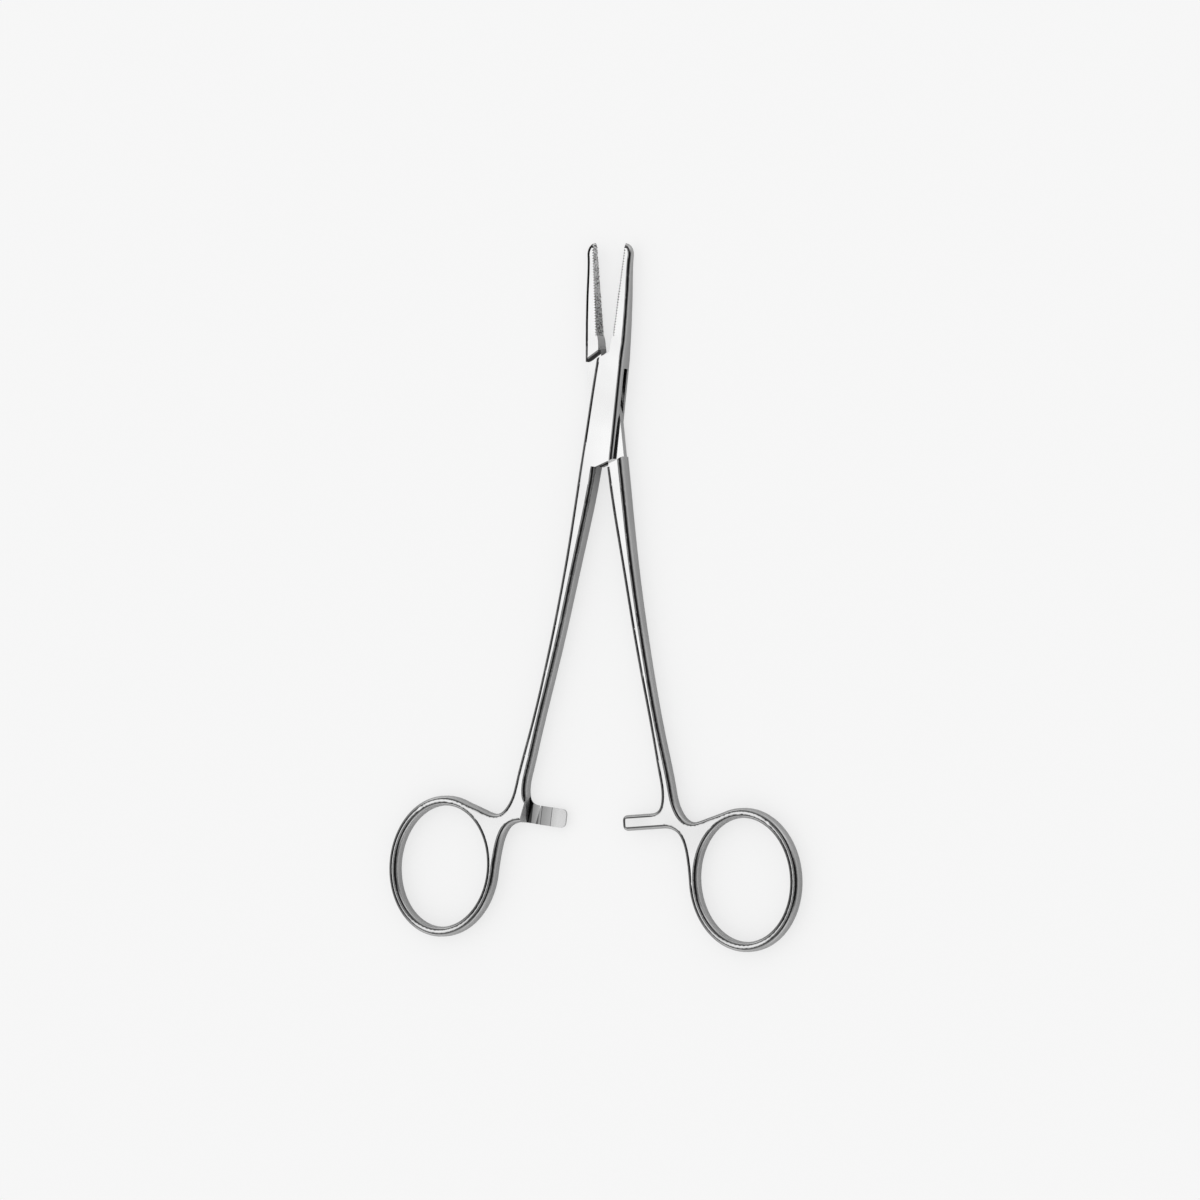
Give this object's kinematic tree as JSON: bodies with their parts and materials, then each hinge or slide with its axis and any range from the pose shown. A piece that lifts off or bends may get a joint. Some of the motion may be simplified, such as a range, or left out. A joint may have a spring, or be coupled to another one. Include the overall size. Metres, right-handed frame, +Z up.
{
  "type": "surgical needle holder",
  "caption": "Slim steel needle holder with cross-serrated jaws, a pinned box lock, finger rings and a ratchet that locks the closed jaws.",
  "frame": {"origin": "on the surface that the instrument lies on, under the centre of its outline", "axes": "+Y along the instrument from the finger rings to the jaw tips, +Z up along the pivot pin, +X to the side of the tongue arm's finger ring"},
  "size_m": [0.1148, 0.1782, 0.0054],
  "materials": {
    "arm_steel": "polished",
    "pin_steel": "polished"
  },
  "bodies": {
    "box_half": {"box_arm": "arm_steel", "pivot_pin": "pin_steel"},
    "tongue_half": {"tongue_arm": "arm_steel"}
  },
  "joints": [
    {"name": "box_lock_pivot", "type": "hinge", "parent": "box_half", "child": "tongue_half", "pos_m": [0, 0.04667, 0.0027], "axis": [0, 0, 1], "range_deg": [-11.6, 32]}
  ]
}
